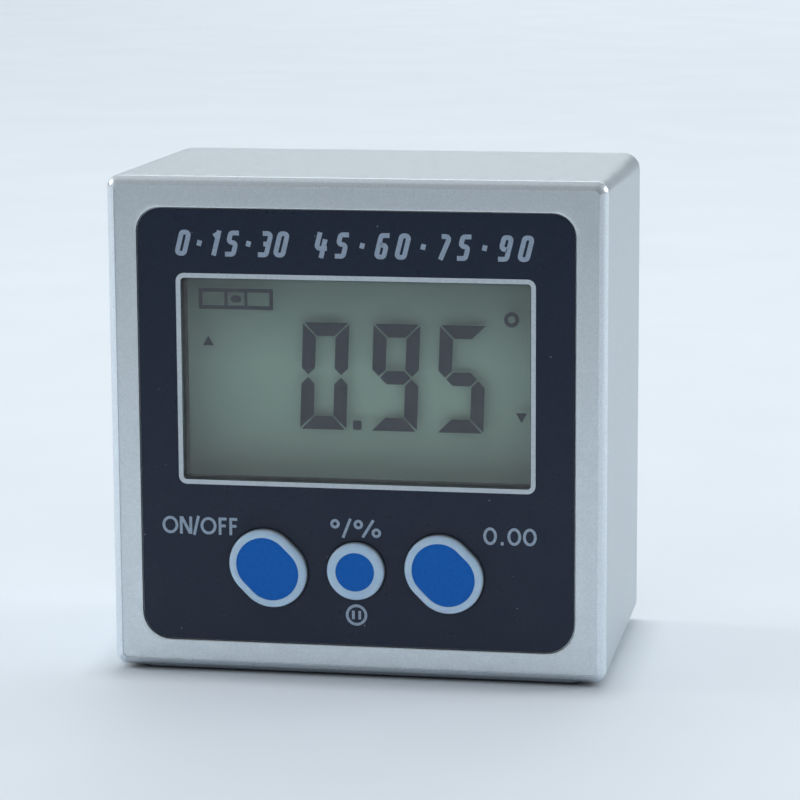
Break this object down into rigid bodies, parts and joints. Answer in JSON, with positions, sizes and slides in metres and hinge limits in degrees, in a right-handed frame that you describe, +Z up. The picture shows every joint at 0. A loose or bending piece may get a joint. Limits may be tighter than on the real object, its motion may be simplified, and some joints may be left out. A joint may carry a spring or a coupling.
{
  "type": "digital inclinometer",
  "caption": "Square digital inclinometer in a cast aluminium case with a display window, push buttons, a magnetic base face and a battery door at the back.",
  "frame": {"origin": "bottom centre of the whole part, on the plane of the base face", "axes": "+Z up; the display faces -Y; +X to the right of someone reading it"},
  "size_m": [0.055, 0.033, 0.0553],
  "materials": {
    "case_aluminium": "fine sand-blasted casting, satin",
    "magnet_nickel": "nickel plated",
    "label_print": "screen-printed plate, satin gloss",
    "clear_acrylic": "clear, polished",
    "black_foam": "closed-cell foam",
    "black_plastic": "moulded",
    "cover_plastic": "fine spark-eroded moulding grain",
    "display_film": "clear film",
    "display_glass": "clear, polished",
    "display_reflector": "satin grey-green reflector film",
    "striped_rubber": "layered silicone",
    "board_laminate": "solder mask",
    "zinc_steel": "zinc plated",
    "chip_resin": "moulded resin",
    "tinned_metal": "tinned",
    "sensor_ceramic": "fired, matte",
    "can_steel": "drawn, plain",
    "can_aluminium": "drawn, plain",
    "chip_ceramic": "fired, matte",
    "nickel_plate": "nickel plated",
    "cell_sleeve": "shrunk film",
    "cap_plastic": "milky, translucent",
    "inlay_blue": "satin",
    "red_insulation": "smooth",
    "black_insulation": "smooth"
  },
  "bodies": {
    "case": {"back_cover": "cover_plastic", "base_magnets": "magnet_nickel", "battery_cans": "can_steel", "battery_sleeves": "cell_sleeve", "black_lead": "black_insulation", "board_screws": "zinc_steel", "bridge_contact": "nickel_plate", "case": "case_aluminium", "chip_capacitors": "chip_ceramic", "chip_resistors": "chip_resin", "circuit_board": "board_laminate", "contact_springs": "nickel_plate", "contact_strip": "striped_rubber", "controller_chip": "chip_resin", "controller_legs": "tinned_metal", "cover_screws": "zinc_steel", "crystal": "can_steel", "display_frame": "black_plastic", "display_front_glass": "display_glass", "display_front_polariser": "display_film", "display_rear_glass": "display_glass", "display_reflector": "display_reflector", "dust_gasket": "black_foam", "electrolytic_capacitor": "can_aluminium", "foam_strip": "black_foam", "front_label": "label_print", "mode_switch_dome": "nickel_plate", "negative_contact": "nickel_plate", "positive_contact": "nickel_plate", "power_switch_dome": "nickel_plate", "red_lead": "red_insulation", "solder_joints": "tinned_metal", "switch_bodies": "black_plastic", "switch_covers": "can_steel", "switch_terminals": "tinned_metal", "tilt_sensor": "sensor_ceramic", "window_lens": "clear_acrylic", "zero_switch_dome": "nickel_plate"},
    "power_button": {"power_button_cap": "cap_plastic", "power_button_inlay": "inlay_blue", "power_switch_plunger": "black_plastic"},
    "mode_button": {"mode_button_cap": "cap_plastic", "mode_button_inlay": "inlay_blue", "mode_switch_plunger": "black_plastic"},
    "zero_button": {"zero_button_cap": "cap_plastic", "zero_button_inlay": "inlay_blue", "zero_switch_plunger": "black_plastic"},
    "battery_door": {"battery_door": "cover_plastic", "door_pad": "black_foam"}
  },
  "joints": [
    {"name": "power_press", "type": "slide", "parent": "case", "child": "power_button", "axis": [0, 1, 0], "range_m": [0, 0.0004], "stiffness_N_per_m": 2000, "springref_m": -0.0003, "deforming": ["power_switch_dome"]},
    {"name": "mode_press", "type": "slide", "parent": "case", "child": "mode_button", "axis": [0, 1, 0], "range_m": [0, 0.0004], "stiffness_N_per_m": 2000, "springref_m": -0.0003, "deforming": ["mode_switch_dome"]},
    {"name": "zero_press", "type": "slide", "parent": "case", "child": "zero_button", "axis": [0, 1, 0], "range_m": [0, 0.0004], "stiffness_N_per_m": 2000, "springref_m": -0.0003, "deforming": ["zero_switch_dome"]},
    {"name": "door_tilt", "type": "hinge", "parent": "case", "child": "battery_door", "pos_m": [0, 0.01621, 0.01595], "axis": [-1, 0, 0], "range_deg": [0, 45]}
  ]
}
